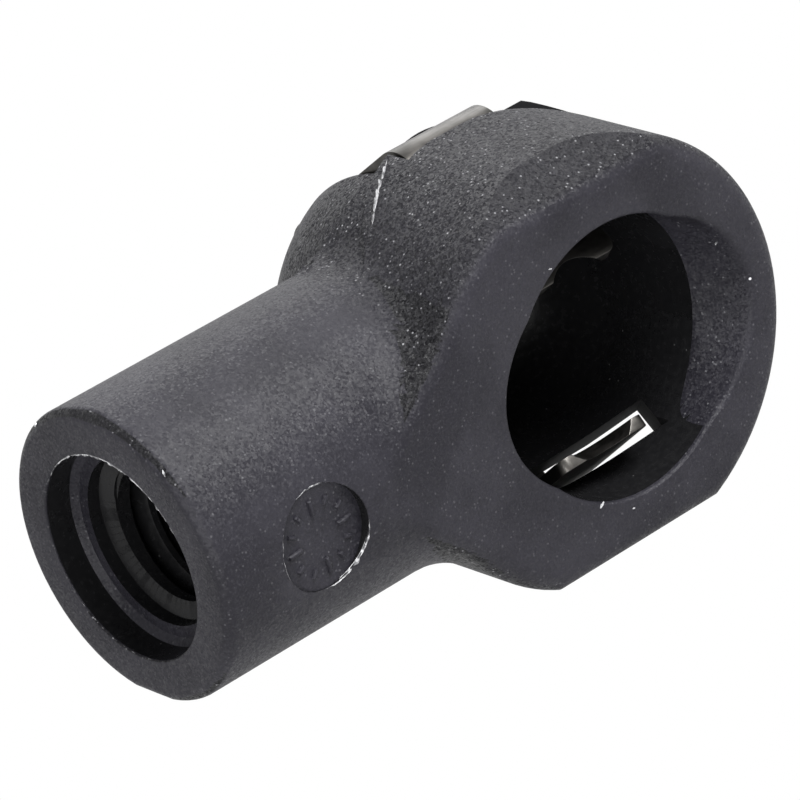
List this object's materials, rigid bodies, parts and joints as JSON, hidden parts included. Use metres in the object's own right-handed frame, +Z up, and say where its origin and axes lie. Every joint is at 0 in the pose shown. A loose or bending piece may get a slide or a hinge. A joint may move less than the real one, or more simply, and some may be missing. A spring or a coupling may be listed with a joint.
{
  "type": "angle ball joint",
  "caption": "Moulded plastic angle ball joint: round threaded shank, side-opening ball socket, and a spring-steel strap clip that locks the ball stud.",
  "frame": {"origin": "centre of the ball, where the shank's axis meets the socket's axis", "axes": "+X along the shank axis from the threaded end to the head, -Y out of the socket's mouth, +Z up"},
  "size_m": [0.0342, 0.0182, 0.02],
  "materials": {
    "glass_filled_nylon": "fine rough moulded grain, charcoal",
    "spring_steel": "smooth dark spring strip with bright sheared edges"
  },
  "bodies": {
    "socket": {"socket_housing": "glass_filled_nylon"},
    "clip": {"retaining_clip": "spring_steel"}
  },
  "joints": [
    {"name": "clip_lift", "type": "slide", "parent": "socket", "child": "clip", "axis": [0, 1, 0], "range_m": [0, 0.0008], "stiffness_N_per_m": 8000}
  ]
}
